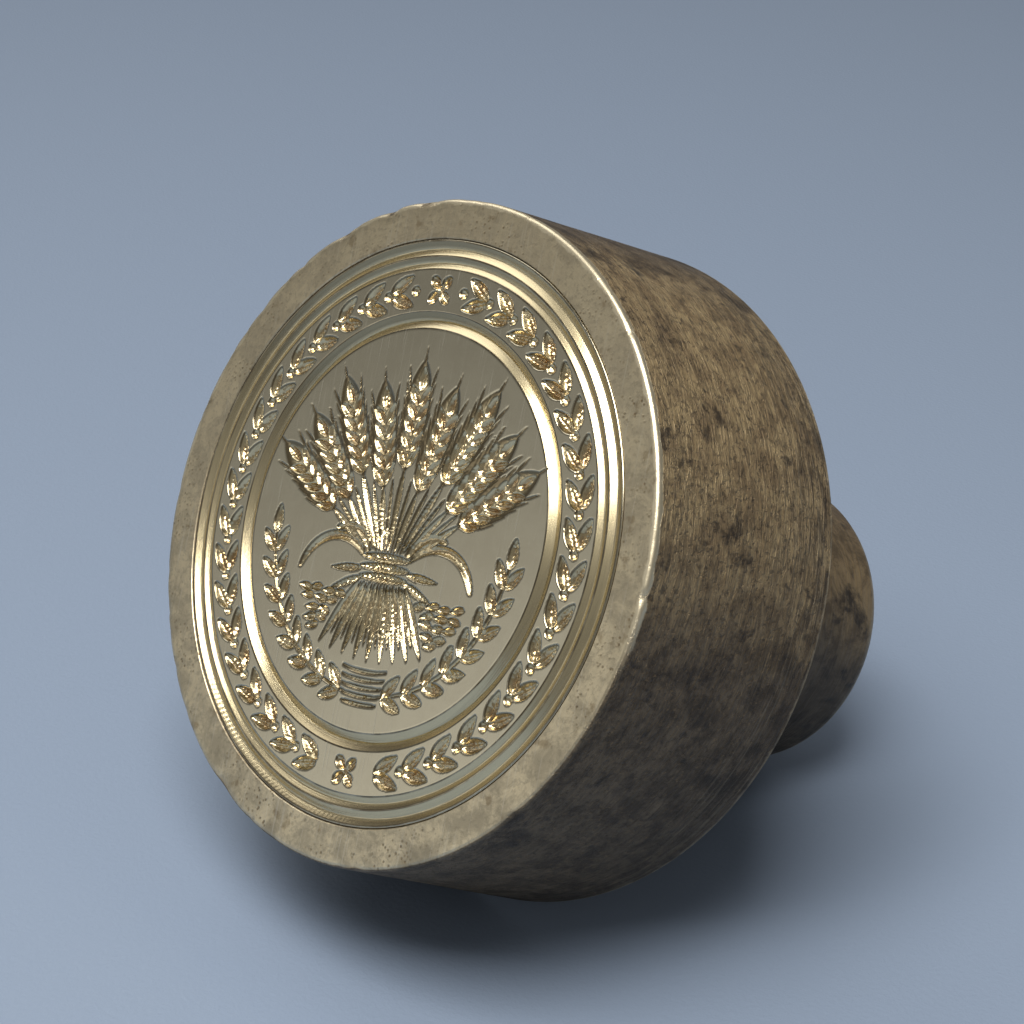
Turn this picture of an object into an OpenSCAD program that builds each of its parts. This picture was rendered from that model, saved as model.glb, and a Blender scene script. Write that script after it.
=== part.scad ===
// Desk seal: an engraved steel die, seated in a turned drum that stands on a stout shank.
// A draw bolt runs up through the shank and the drum and pulls the die down into its seat.
// Origin: centre of the shank's end face, on the surface that the seal stands on.
// +Z runs up the axis to the engraved face, and +Y is the upright of the engraving.

/* [Drum] */
// Diameter of the drum at its face
drum_d = 50.8; // [48:0.1:60]
// Growth of the drum's radius from the face to the back
drum_flare = 0.95; // [0:0.05:1.5]
// Length of the drum along the axis
drum_len = 19.5; // [18:0.1:30]
// Width of the flat lip that surrounds the die
lip_w = 3.1; // [2:0.1:3.5]
// Radius of the worn front edge
front_edge_r = 0.45; // [0.2:0.05:0.9]
// Chamfer of the back edge
back_edge_c = 0.3; // [0.1:0.05:0.8]

/* [Die] */
// Thickness of the engraved die
die_t = 7.5; // [7:0.1:9]
// Chamfer round the front and back of the die
die_edge_c = 0.1; // [0.05:0.05:0.3]

/* [Border rings] */
// Width of the outermost groove
outer_groove_w = 1.15; // [1:0.05:1.8]
// Width of the fine groove beside it
fine_groove_w = 0.95; // [0.6:0.05:1.1]
// Width of the plain band that holds the wreath
wreath_band_w = 3.2; // [3:0.05:3.6]
// Width of the groove round the central field
field_groove_w = 1.3; // [1:0.05:1.5]
// Flat land left between a groove and its neighbour
land_w = 0.05; // [0.05:0.05:0.3]
// Depth of the border grooves, as a share of their width
groove_depth_share = 0.32; // [0.2:0.01:0.4]

/* [Engraving] */
// Leaf pairs on each side of the wreath
wreath_pairs = 18; // [14:1:20]
// Ears in the wheat sheaf
ears = 7; // [5:2:7]
// Pairs of grains in an ear
grain_pairs = 5; // [4:1:5]
// Depth of a graver cut, as a share of its width
cut_depth_share = 0.42; // [0.3:0.01:0.5]
// Width of a leaf in the wreath
wreath_leaf_w = 0.95; // [0.7:0.05:1.1]
// Diameter of a berry in the wreath
berry_d = 0.62; // [0.4:0.02:0.7]

/* [Shank] */
// Diameter of the shank
shank_d = 24.5; // [23:0.1:30]
// Length of the shank below the drum
shank_len = 27.3; // [20:0.1:40]
// Radius of the shank's end edge
shank_end_r = 1.6; // [0.5:0.1:2.5]
// Length of the shank that is pressed into the drum
socket_len = 5; // [3:0.1:6]
// Width of the undercut where the shank meets the drum
undercut_w = 0.6; // [0.3:0.1:1.2]
// Depth of the undercut
undercut_depth = 0.4; // [0.2:0.1:0.8]

/* [Draw bolt] */
// Nominal diameter of the bolt
bolt_d = 6; // [5:0.1:6.5]
// Length of bolt that is screwed into the die
thread_len = 5; // [4:0.1:5.2]
// Diameter of the bolt's head
head_d = 10; // [9.5:0.1:11]
// Height of the bolt's head
head_h = 3.9; // [3:0.1:5]
// Width of the screwdriver slot
slot_w = 1.6; // [1:0.1:2]
// Depth of the screwdriver slot
slot_depth = 1.8; // [1:0.1:2.2]
// Depth of the head below the shank's end face
head_recess = 0.9; // [0.5:0.1:3]
// Diameter of both washers
washer_d = 12; // [11.5:0.1:12.5]
// Thickness of the plain washer
plain_washer_t = 1.6; // [1:0.1:2]
// Thickness of the split lock washer
lock_washer_t = 1.6; // [1:0.1:2]
// Gap in the split lock washer
lock_washer_gap = 0.8; // [0.5:0.1:1.2]

/* [Pins] */
// Diameter of the register pin that keeps the die upright
register_pin_d = 2.5; // [2:0.1:3]
// Distance of the register pin from the axis
register_pin_at = 14; // [12.5:0.1:16]
// Length of the register pin in the drum
register_pin_in_drum = 5; // [4:0.1:6]
// Length of the register pin in the die
register_pin_in_die = 3; // [2:0.1:3.5]
// Diameter of the two drive pins between shank and drum
drive_pin_d = 2; // [1.5:0.1:2.5]
// Length of a drive pin on each side of the joint
drive_pin_half = 4; // [3:0.1:5]

/* [Clearances] */
// Radial clearance of pieces that slide or turn
slide_gap = 0.05; // [0.03:0.01:0.1]
// Radial clearance of pieces that are pressed in
press_gap = 0.02; // [0.01:0.01:0.04]
// Radial clearance of the bolt in the shank and drum
bolt_gap = 0.3; // [0.2:0.05:0.5]
// Clearance at the blind end of a hole
end_gap = 0.4; // [0.2:0.1:0.6]

/* [Hidden] */
$fn = 96;
ENGRAVING_FN = 40;
OVERCUT = 0.2;
CUT_TOP = 0.05;

// Levels along the axis, from the shank's end up
head_z = head_recess;
washer_z = head_z + head_h;
counterbore_len = washer_z + lock_washer_t + plain_washer_t;
drum_z = shank_len;
face_z = drum_z + drum_len;
seat_z = face_z - die_t;
socket_z = drum_z + socket_len;
bolt_tip_z = seat_z + thread_len;

// Radii
drum_r = drum_d / 2;
drum_back_r = drum_r + drum_flare;
flare_angle = atan(drum_flare / drum_len);
seat_r = drum_r - lip_w;
die_r = seat_r - slide_gap;
shank_r = shank_d / 2;
bolt_r = bolt_d / 2;
bolt_hole_r = bolt_r + bolt_gap;
counterbore_r = washer_d / 2 + bolt_gap;
drive_pin_at = (shank_r + bolt_hole_r) / 2;
drive_pin_angles = [0, 180];

// Border rings, from the die's edge inwards
outer_groove_at = die_r - die_edge_c - land_w - outer_groove_w / 2;
fine_groove_at = outer_groove_at - outer_groove_w / 2 - land_w - fine_groove_w / 2;
wreath_at = fine_groove_at - fine_groove_w / 2 - land_w - wreath_band_w / 2;
field_groove_at = wreath_at - wreath_band_w / 2 - land_w - field_groove_w / 2;
field_r = field_groove_at - field_groove_w / 2 - land_w;

// The wreath: pairs of leaves lean out from the middle of the band to near its edges
wreath_margin = 0.45;
wreath_stem_gap = 0.12;
wreath_lean = 24;
wreath_reach = wreath_band_w / 2 - wreath_margin;
wreath_leaf = [(wreath_reach - wreath_stem_gap) / sin(wreath_lean), wreath_leaf_w];
wreath_spread = (wreath_reach + wreath_stem_gap) / 2;

// Angles left free on each side of the rosettes at the wreath's foot and head
wreath_foot = 9;
wreath_head = 8;
petal = [1.24, 0.76];
petal_at = 0.74;

// The sheaf and its sprigs are drawn in a field of this radius and fitted to the real one
ART_FIELD_R = 15;

// The tie: turns of cord round the stalks, with two loose ends on each side
tie_at = [0, -3];
tie_cut = [5.2, 0.66];
tie_pitch = 0.72;
tie_half_h = 1.15;
cord_cut = [3.4, 0.6];
cord_leans = [100, 128];
cord_at = 4.9;

// The stalks fan out above and below the tie, by turns longer and shorter
stalk_w = 0.62;
stalk_pitch = 0.62;
stalk_len = [6.6, 5.2];
ear_fan = 87;
foot = [6, 0.74];
foot_fan = 62;

// The grains of an ear lean out from its middle
grain = [1.75, 0.64];
grain_pitch = 1.16;
grain_lean = 33;
grain_spread = 0.52;
first_grain_at = 0.9;
tip_grain_gap = 1.28;

// The sprigs follow the edge of the field
sprig_at = 12.7;
sprig_pairs = 8;
sprig_from = -75.3;
sprig_step = 9.4;
sprig_tip = -2;
sprig_leaf = [2.15, 0.84];
sprig_lean = 33;
sprig_spread = 0.66;

// The waste outside a round of radius r, between an upper edge and a right-hand edge that leans in
module corner_round(r, lean = 0) {
    reach = r + OVERCUT;
    difference() {
        polygon([[0, 0], [reach * cos(lean), reach * sin(lean)], [reach, reach], [0, reach]]);
        circle(r);
    }
}

// A cylinder with a square-cut chamfer at both ends
module chamfered_cylinder(r, h, c) {
    rotate_extrude()
        polygon([[0, 0], [r - c, 0], [r, c], [r, h - c], [r - c, h], [0, h]]);
}

// A round-bottomed groove, cut by a ring of round section that dips into the face
module ring_groove(at, width, depth) {
    tool_r = (width * width / 4 + depth * depth) / (2 * depth);
    rotate_extrude()
        translate([at, tool_r - depth])
            circle(tool_r);
}

// One stroke of a graver along Y: a leaf-shaped cut with a keel, where two balls overlap
module graver_cut(size) {
    length = size[0];
    width = size[1];
    depth = width * cut_depth_share;
    keel_r = (length * length / 4 + depth * depth) / (2 * depth);
    ball_at = (length * length - width * width) / (4 * width);
    ball_r = sqrt(ball_at * ball_at + keel_r * keel_r);
    intersection() {
        translate([-width, -length, -2 * depth])
            cube([2 * width, 2 * length, 2 * depth + CUT_TOP]);
        translate([ball_at, 0, keel_r - depth])
            sphere(ball_r, $fn = ENGRAVING_FN);
        translate([-ball_at, 0, keel_r - depth])
            rotate(180)
                sphere(ball_r, $fn = ENGRAVING_FN);
    }
}

// A round dimple, almost half a ball deep
module pellet(d) {
    translate([0, 0, CUT_TOP]) sphere(d / 2, $fn = ENGRAVING_FN);
}

// A cut is placed as [x, y, turn, [length, width]]: its tip points along +Y before it is turned
function turned(p, turn) = [
    p[0] * cos(turn) - p[1] * sin(turn),
    p[0] * sin(turn) + p[1] * cos(turn)
];
function placed(cuts, at, turn) = [
    for (c = cuts)
        let (p = turned([c[0], c[1]], turn))
            [p[0] + at[0], p[1] + at[1], c[2] + turn, c[3]]
];
function round_axis(cuts, at, turn) = placed(placed(cuts, [at, 0], 0), [0, 0], turn);
function with_mirror_image(cuts) = concat(cuts, [for (c = cuts) [-c[0], c[1], -c[2], c[3]]]);
function joined(lists) = [for (list = lists) for (c = list) c];

// Two cuts that leave a stem to left and right
function leaf_pair(size, lean, spread) = [
    for (side = [-1, 1])
        [side * spread, 0, -side * lean, size]
];

// The wreath: leaves up the right side, their mirror image, and a rosette at the head and the foot
wreath_climb = (180 - wreath_foot - wreath_head) / wreath_pairs;
wreath_turns = [for (i = [0 : wreath_pairs - 1]) wreath_foot - 90 + wreath_climb * (i + 0.5)];
rosette = [
    for (turn = [45 : 90 : 315])
        [-sin(turn) * petal_at, cos(turn) * petal_at, turn, petal]
];
wreath_cuts = concat(
    with_mirror_image(joined([
        for (turn = wreath_turns)
            round_axis(leaf_pair(wreath_leaf, wreath_lean, wreath_spread), wreath_at, turn)
    ])),
    placed(rosette, [0, wreath_at], 0),
    placed(rosette, [0, -wreath_at], 0)
);

// An ear of wheat along +Y: grains in pairs, with one at the tip
ear_cuts = concat(
    joined([
        for (i = [0 : grain_pairs - 1])
            placed(leaf_pair(grain, grain_lean, grain_spread), [0, first_grain_at + grain_pitch * i], 0)
    ]),
    [[0, first_grain_at + grain_pitch * (grain_pairs - 1) + tip_grain_gap, 0, grain]]
);

// A stalk through the tie, with its ear above and its foot below
middle_ear = (ears - 1) / 2;
function stalk_cuts(i) =
    let (out = i - middle_ear)
    let (length = stalk_len[abs(out) % 2])
    let (root_x = tie_at[0] + stalk_pitch * out)
    concat(
        placed(
            concat([[0, length / 2, 0, [length, stalk_w]]], placed(ear_cuts, [0, length], 0)),
            [root_x, tie_at[1] + tie_half_h],
            -ear_fan / (ears - 1) * out
        ),
        placed(
            [[0, -foot[0] / 2, 0, foot]],
            [root_x, tie_at[1] - tie_half_h],
            foot_fan / (ears - 1) * out
        )
    );

tie_cuts = concat(
    [for (row = [-1 : 1]) [tie_at[0], tie_at[1] + tie_pitch * row, 90, tie_cut]],
    with_mirror_image(joined([for (lean = cord_leans) placed([[0, cord_at, 0, cord_cut]], tie_at, -lean)]))
);

// A sprig from the foot up, with one leaf at its tip
sprig_cuts = concat(
    joined([
        for (i = [0 : sprig_pairs - 1])
            let (turn = sprig_from + sprig_step * i)
                round_axis(leaf_pair(sprig_leaf, sprig_lean, sprig_spread), sprig_at, turn)
    ]),
    round_axis([[0, 0, 0, sprig_leaf]], sprig_at, sprig_tip)
);

field_cuts = concat(
    joined([for (i = [0 : ears - 1]) stalk_cuts(i)]),
    tie_cuts,
    with_mirror_image(sprig_cuts)
);

module graver_cuts(cuts) {
    for (c = cuts)
        translate([c[0], c[1], 0])
            rotate(c[2])
                graver_cut(c[3]);
}

// A berry between each pair of leaves and the next
module berries() {
    for (turn = wreath_turns)
        for (side = [-1, 1])
            rotate(90 + side * (turn + wreath_climb / 2 - 90))
                translate([wreath_at, 0, 0])
                    pellet(berry_d);
}

module border_rings() {
    ring_groove(outer_groove_at, outer_groove_w, outer_groove_w * groove_depth_share);
    ring_groove(fine_groove_at, fine_groove_w, fine_groove_w * groove_depth_share);
    ring_groove(field_groove_at, field_groove_w, field_groove_w * groove_depth_share);
}

// The steel drum, with the die's seat in front and the shank's socket behind
module drum() {
    color([0.43, 0.37, 0.28])
        translate([0, 0, drum_z])
            difference() {
                rotate_extrude() drum_section();
                translate([0, 0, drum_len - die_t]) cylinder(r = seat_r, h = die_t + OVERCUT);
                translate([0, 0, -OVERCUT]) cylinder(r = bolt_hole_r, h = drum_len);
                translate([0, 0, -OVERCUT])
                    cylinder(r = shank_r + press_gap, h = socket_len + OVERCUT);
                translate([0, 0, socket_len]) drive_pin_holes();
                translate([0, register_pin_at, drum_len - die_t - register_pin_in_drum - end_gap])
                    cylinder(
                        d = register_pin_d + 2 * press_gap,
                        h = register_pin_in_drum + end_gap + OVERCUT
                    );
            }
}

// The drum's side flares a little towards the back
module drum_section() {
    front_inset = front_edge_r * (1 - sin(flare_angle)) / cos(flare_angle);
    difference() {
        polygon([[0, 0], [drum_back_r, 0], [drum_r, drum_len], [0, drum_len]]);
        translate([drum_r - front_inset, drum_len - front_edge_r])
            corner_round(front_edge_r, flare_angle);
        translate([drum_back_r, 0]) rotate(45) square(back_edge_c * sqrt(2), center = true);
    }
}

// Two blind holes for the drive pins, open on both sides of the joint at z = 0
module drive_pin_holes() {
    reach = drive_pin_half + end_gap / 2;
    for (turn = drive_pin_angles)
        rotate(turn)
            translate([drive_pin_at, 0, -reach])
                cylinder(d = drive_pin_d + 2 * press_gap, h = 2 * reach);
}

// The engraved die: a loose disc in the drum's seat, tapped in its back for the draw bolt
module seal_die() {
    color([0.62, 0.58, 0.5])
        difference() {
            wreathed_die();
            translate([0, 0, face_z])
                scale(field_r / ART_FIELD_R)
                    graver_cuts(field_cuts);
        }
}

// The die with its border cut and its field still plain
module wreathed_die() {
    difference() {
        die_blank();
        translate([0, 0, face_z]) graver_cuts(wreath_cuts);
        translate([0, 0, face_z]) berries();
    }
}

// The turned disc, with its border rings and the holes in its back
module die_blank() {
    difference() {
        translate([0, 0, seat_z]) chamfered_cylinder(die_r, die_t, die_edge_c);
        translate([0, 0, face_z]) border_rings();
        translate([0, 0, seat_z - OVERCUT])
            cylinder(r = bolt_r + slide_gap, h = thread_len + end_gap + OVERCUT);
        translate([0, register_pin_at, seat_z - OVERCUT])
            cylinder(d = register_pin_d + 2 * slide_gap, h = register_pin_in_die + end_gap + OVERCUT);
    }
}

// The shank, with an undercut at the drum's back and a counterbore for the bolt's head
module shank() {
    color([0.36, 0.31, 0.24])
        difference() {
            rotate_extrude() shank_section();
            translate([0, 0, -OVERCUT]) cylinder(r = counterbore_r, h = counterbore_len + OVERCUT);
            cylinder(r = bolt_hole_r, h = socket_z + OVERCUT);
            translate([0, 0, socket_z]) drive_pin_holes();
        }
}

module shank_section() {
    difference() {
        square([shank_r, socket_z]);
        translate([shank_r - shank_end_r, shank_end_r]) rotate(-90) corner_round(shank_end_r);
        translate([shank_r - undercut_depth, drum_z - undercut_w])
            square([undercut_depth + OVERCUT, undercut_w]);
    }
}

// The slotted draw bolt, head down in the shank's counterbore
module draw_bolt() {
    color([0.5, 0.48, 0.44])
        difference() {
            union() {
                translate([0, 0, head_z]) cylinder(d = head_d, h = head_h);
                translate([0, 0, head_z]) cylinder(r = bolt_r, h = bolt_tip_z - head_z);
            }
            translate([-head_d / 2 - OVERCUT, -slot_w / 2, head_z - OVERCUT])
                cube([head_d + 2 * OVERCUT, slot_w, slot_depth + OVERCUT]);
        }
}

module washer_ring(thickness) {
    difference() {
        cylinder(d = washer_d, h = thickness);
        translate([0, 0, -OVERCUT]) cylinder(r = bolt_r + slide_gap, h = thickness + 2 * OVERCUT);
    }
}

// The plain washer, on the floor of the counterbore
module plain_washer() {
    color([0.55, 0.52, 0.47])
        translate([0, 0, washer_z + lock_washer_t]) washer_ring(plain_washer_t);
}

// The split lock washer, drawn flat under the bolt's head
module lock_washer() {
    color([0.42, 0.4, 0.37])
        translate([0, 0, washer_z])
            difference() {
                washer_ring(lock_washer_t);
                translate([0, -lock_washer_gap / 2, -OVERCUT])
                    cube([washer_d, lock_washer_gap, lock_washer_t + 2 * OVERCUT]);
            }
}

// The register pin, pressed into the floor of the seat
module register_pin() {
    color([0.66, 0.64, 0.6])
        translate([0, register_pin_at, seat_z - register_pin_in_drum])
            chamfered_cylinder(register_pin_d / 2, register_pin_in_drum + register_pin_in_die, die_edge_c);
}

// The two drive pins that stop the drum from turning on the shank
module drive_pins() {
    color([0.66, 0.64, 0.6])
        for (turn = drive_pin_angles)
            rotate(turn)
                translate([drive_pin_at, 0, socket_z - drive_pin_half])
                    chamfered_cylinder(drive_pin_d / 2, 2 * drive_pin_half, die_edge_c);
}

drum();
seal_die();
shank();
draw_bolt();
plain_washer();
lock_washer();
register_pin();
drive_pins();
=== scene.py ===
import math
import random
from typing import NamedTuple

import bmesh
import bpy
import numpy as np
from mathutils import Matrix, Vector


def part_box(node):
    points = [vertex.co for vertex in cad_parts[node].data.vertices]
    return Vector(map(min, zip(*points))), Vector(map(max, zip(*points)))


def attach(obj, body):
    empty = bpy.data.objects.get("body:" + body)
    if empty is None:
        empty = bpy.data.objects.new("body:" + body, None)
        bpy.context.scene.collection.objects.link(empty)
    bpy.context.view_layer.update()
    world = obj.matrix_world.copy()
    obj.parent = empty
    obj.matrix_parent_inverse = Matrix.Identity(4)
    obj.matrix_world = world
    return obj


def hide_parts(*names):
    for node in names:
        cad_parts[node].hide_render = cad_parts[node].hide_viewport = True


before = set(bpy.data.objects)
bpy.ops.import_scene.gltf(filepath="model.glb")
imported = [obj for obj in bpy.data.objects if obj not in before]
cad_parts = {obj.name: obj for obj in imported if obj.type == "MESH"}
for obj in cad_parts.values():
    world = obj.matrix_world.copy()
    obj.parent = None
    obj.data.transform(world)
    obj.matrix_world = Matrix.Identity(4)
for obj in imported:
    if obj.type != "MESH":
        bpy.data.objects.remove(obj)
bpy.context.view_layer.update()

# Pieces are drawn in millimetres and scaled to metres when they are finished
MM = 0.001


def node_box(name):
    """Corners of a CAD node's box, in millimetres."""
    low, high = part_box(name)
    return low / MM, high / MM


# Sizes of the turned pieces, from the frame
drum_low, drum_high = node_box("drum")
die_low, die_high = node_box("seal_die")
shank_low, shank_high = node_box("shank")
bolt_low, bolt_high = node_box("draw_bolt")
plain_low, plain_high = node_box("plain_washer")
lock_low, lock_high = node_box("lock_washer")
register_low, register_high = node_box("register_pin")
DRUM_BACK_R = drum_high.x
DRUM_Z = drum_low.z
FACE_Z = drum_high.z
DIE_R = die_high.x
SEAT_Z = die_low.z
SHANK_R = shank_high.x
SOCKET_Z = shank_high.z

# Sizes that the frame's boxes don't give
DRUM_FLARE = 0.95
DRUM_R = DRUM_BACK_R - DRUM_FLARE
SLIDE_GAP = 0.05
PRESS_GAP = 0.02
BOLT_GAP = 0.3
SEAT_R = DIE_R + SLIDE_GAP
BOLT_R = 3.0
BOLT_HOLE_R = BOLT_R + BOLT_GAP
HEAD_R = bolt_high.x
HEAD_H = lock_low.z - bolt_low.z
COUNTERBORE_R = plain_high.x + BOLT_GAP
COUNTERBORE_Z = plain_high.z
TAPPED_CLEAR = 0.4
TAPPED_Z = bolt_high.z + TAPPED_CLEAR
FRONT_ROUND = 0.36
BACK_CHAMFER = 0.3
SHANK_ROUND = 1.6
UNDERCUT_W = 0.6
UNDERCUT_DEPTH = 0.4
SEAT_CHAMFER = 0.08
COUNTERBORE_CHAMFER = 0.3
DIE_CHAMFER = 0.1
PIN_CHAMFER = 0.15
PIN_NOSE = 0.5

# Steps of the spun meshes, each a multiple of the wedges that a full turn is put together from
WEDGES = 24
DRUM_STEPS = 30 * WEDGES
DIE_STEPS = 46 * WEDGES
SHANK_STEPS = 12 * WEDGES
SMALL_STEPS = 4 * WEDGES

# Border of the die: middle radius, width and depth of each groove, and the middle of the wreath's band
OUTER_GROOVE = (21.525, 1.15, 0.38)
FINE_GROOVE = (20.425, 0.95, 0.31)
FIELD_GROOVE = (16.0, 1.3, 0.43)
WREATH_AT = 18.3

# The field is a disc of its own that meets the border at the bottom of the field groove
FIELD_SPLIT_R = FIELD_GROOVE[0]
FIELD_FLOOR_DROP = 1.6
FIELD_FLOOR_Z = FACE_Z - FIELD_FLOOR_DROP
FIELD_CELLS = 306


class Stroke(NamedTuple):
    """Shape of a leaf-like cut: sizes in millimetres, rib and veins as shares of its depth."""

    length: float
    width: float
    depth: float
    rib: float = 0.0
    veins: float = 0.0
    taper: float = 0.0


STROKES = {
    "grain": Stroke(1.95, 0.86, 0.52, rib=0.3, taper=0.25),
    "ear": Stroke(8.6, 3.0, 0.2),
    "awn": Stroke(1.9, 0.2, 0.1, taper=0.3),
    "stalk": Stroke(6.6, 0.66, 0.34, rib=0.35),
    "short stalk": Stroke(5.2, 0.66, 0.34, rib=0.35),
    "thin stalk": Stroke(5.8, 0.36, 0.2),
    "foot": Stroke(6.0, 0.78, 0.4, rib=0.35, taper=-0.3),
    "thin foot": Stroke(5.0, 0.4, 0.22, taper=-0.3),
    "tie": Stroke(5.4, 0.76, 0.46, veins=0.45),
    "cord": Stroke(3.4, 0.62, 0.36, veins=0.4, taper=0.2),
    "sprig leaf": Stroke(2.3, 1.0, 0.5, rib=0.32, veins=0.14, taper=0.22),
    "wreath leaf": Stroke(2.6, 1.12, 0.56, rib=0.32, veins=0.14, taper=0.22),
    "clod": Stroke(1.45, 0.66, 0.4, rib=0.25, taper=0.3),
    "petal": Stroke(1.3, 0.86, 0.5, rib=0.3, taper=-0.2),
}

# Powers that shape the cuts: a stroke's outline, its bowl across and at its ends, an arc's ends and a ring
OUTLINE_POWER = 0.75
BOWL_POWER = 2.6
BOWL_END_POWER = 0.45
ARC_END_POWER = 0.3
RING_POWER = 1.12

# A rib's width as a share of the stroke's, and the spacing and slant of the veins
RIB_SHARE = 0.1
VEIN_PITCH = 0.42
VEIN_SLANT = 1.3

# Height of the graver's chatter, the depth from which it is full, and the depth that counts as a full cut
CHATTER = 0.03
CHATTER_FULL = 0.3
FULL_CUT = 0.5


class Relief:
    """Depth of the engraving, in millimetres below the face, over the points x and y."""

    def __init__(self, x, y):
        self.x = x
        self.y = y
        self.depth = np.zeros_like(x)

    def sink(self, where, depth):
        self.depth[where] = np.maximum(self.depth[where], depth)

    def stroke(self, kind, at, turn):
        """One leaf-shaped cut, whose tip points along +Y before it is turned."""
        shape = STROKES[kind]
        half_len = shape.length / 2
        c, s = math.cos(turn), math.sin(turn)
        dx, dy = self.x - at[0], self.y - at[1]
        near = np.flatnonzero((np.abs(dx) < half_len) & (np.abs(dy) < half_len))
        across = dx[near] * c + dy[near] * s
        along = dy[near] * c - dx[near] * s
        t = np.clip(along / half_len, -1, 1)
        outline = (1 - t * t) ** OUTLINE_POWER * (1 - shape.taper * t)
        q = np.abs(across) / np.maximum(outline * shape.width / 2, 1e-6)
        inside = q < 1
        near, across, along, outline, q = (v[inside] for v in (near, across, along, outline, q))
        bowl = (1 - q**BOWL_POWER) * np.minimum(outline, 1) ** BOWL_END_POWER
        rib = shape.rib * np.exp(-((across / (RIB_SHARE * shape.width)) ** 2))
        waves = 0.5 + 0.5 * np.cos(2 * math.pi * (along - VEIN_SLANT * np.abs(across)) / VEIN_PITCH)
        self.sink(near, shape.depth * bowl * (1 - rib - shape.veins * waves))

    def arc(self, centre, radius, start, end, width, depth):
        """A line along part of a circle, narrowing to both ends."""
        dx, dy = self.x - centre[0], self.y - centre[1]
        r = np.hypot(dx, dy)
        near = np.flatnonzero(np.abs(r - radius) < width / 2)
        middle, half = (start + end) / 2, (end - start) / 2
        turn = np.arctan2(dy[near], dx[near]) - middle
        t = ((turn + math.pi) % (2 * math.pi) - math.pi) / half
        outline = np.maximum(1 - t * t, 0) ** ARC_END_POWER
        q = np.abs(r[near] - radius) / np.maximum(outline * width / 2, 1e-6)
        self.sink(near, depth * np.maximum(1 - q * q, 0) * outline)

    def dimple(self, at, d, depth):
        r = np.hypot(self.x - at[0], self.y - at[1]) / (d / 2)
        near = np.flatnonzero(r < 1)
        self.sink(near, depth * np.sqrt(1 - r[near] ** 2))

    def ring(self, at, width, depth):
        q = np.abs(np.hypot(self.x, self.y) - at) / (width / 2)
        near = np.flatnonzero(q < 1)
        self.sink(near, depth * (1 - q[near] ** RING_POWER))


def polar(radius, turn):
    return radius * math.cos(turn), radius * math.sin(turn)


def placed(local, at, turn):
    """A point given along +Y from at, after a turn about at."""
    c, s = math.cos(turn), math.sin(turn)
    return at[0] + local[0] * c - local[1] * s, at[1] + local[0] * s + local[1] * c


def mirrored(angle, side):
    """An angle on the face's right side or its mirror image on the left, and the heading of a leaf there."""
    return (angle, angle) if side > 0 else (math.pi - angle, -angle)


def leaf_pair(relief, kind, at, turn, lean, spread):
    """Two cuts that leave a stem to left and right."""
    for side in (-1, 1):
        relief.stroke(kind, placed((side * spread, 0), at, turn), turn - side * lean)


# The wheat sheaf in the field
TIE_AT = (0, -3)
TIE_PITCH = 0.76
TIE_HALF = 1.15
EARS = 9
EAR_FAN = math.radians(113)
FOOT_FAN = math.radians(62)
STALK_PITCH = 0.62
GRAIN_PAIRS = 5
GRAIN_PITCH = 1.16
GRAIN_LEAN = math.radians(31)
GRAIN_SPREAD = 0.55
FIRST_GRAIN_AT = 0.9
TIP_GRAIN_GAP = 1.3
EAR_MIDDLE = 4.0
AWN_LEAN = math.radians(14)
AWN_OUT = 0.75
AWN_UP = 1.35
TIP_AWN_UP = 1.5
CORD_LEANS = (math.radians(95), math.radians(111))
CORD_AT = 4.1


def carve_ear(relief, root, turn):
    """An ear of wheat from its root on: a shallow hollow, grains in pairs and their awns."""
    relief.stroke("ear", placed((0, EAR_MIDDLE), root, turn), turn)
    for i in range(GRAIN_PAIRS):
        at = FIRST_GRAIN_AT + GRAIN_PITCH * i
        leaf_pair(relief, "grain", placed((0, at), root, turn), turn, GRAIN_LEAN, GRAIN_SPREAD)
        for side in (-1, 1):
            awn_at = placed((side * (GRAIN_SPREAD + AWN_OUT), at + AWN_UP), root, turn)
            relief.stroke("awn", awn_at, turn - side * AWN_LEAN)
    tip = FIRST_GRAIN_AT + GRAIN_PITCH * (GRAIN_PAIRS - 1) + TIP_GRAIN_GAP
    relief.stroke("grain", placed((0, tip), root, turn), turn)
    relief.stroke("awn", placed((0, tip + TIP_AWN_UP), root, turn), turn)


def carve_straw(relief, out, stalk, foot):
    """A straw of the sheaf, so many places out from its middle. Gives the upper end and its lean."""
    x = TIE_AT[0] + STALK_PITCH * out
    lean = -EAR_FAN / (EARS - 1) * out
    root = (x, TIE_AT[1] + TIE_HALF)
    length = STROKES[stalk].length
    relief.stroke(stalk, placed((0, length / 2), root, lean), lean)
    foot_lean = FOOT_FAN / (EARS - 1) * out
    foot_root = (x, TIE_AT[1] - TIE_HALF)
    relief.stroke(foot, placed((0, -STROKES[foot].length / 2), foot_root, foot_lean), foot_lean)
    return placed((0, length), root, lean), lean


def carve_sheaf(relief):
    middle = (EARS - 1) / 2
    for i in range(EARS):
        out = i - middle
        stalk = "short stalk" if out % 2 or abs(out) == middle else "stalk"
        carve_ear(relief, *carve_straw(relief, out, stalk, "foot"))
    for i in range(EARS - 1):
        carve_straw(relief, i + 0.5 - middle, "thin stalk", "thin foot")
    for row in (-1, 0, 1):
        relief.stroke("tie", (TIE_AT[0], TIE_AT[1] + TIE_PITCH * row), math.pi / 2)
    for lean in CORD_LEANS:
        for side in (-1, 1):
            relief.stroke("cord", placed((0, CORD_AT), TIE_AT, side * lean), side * lean)


# Long blades that bend out from the sheaf: middle and radius of the bend, and its ends in degrees
BLADES = [((-5.4, -5.0), 4.0, 45, 165), ((-4.7, -2.9), 2.7, 20, 118)]
BLADE_W = 0.8
BLADE_DEPTH = 0.36


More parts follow.
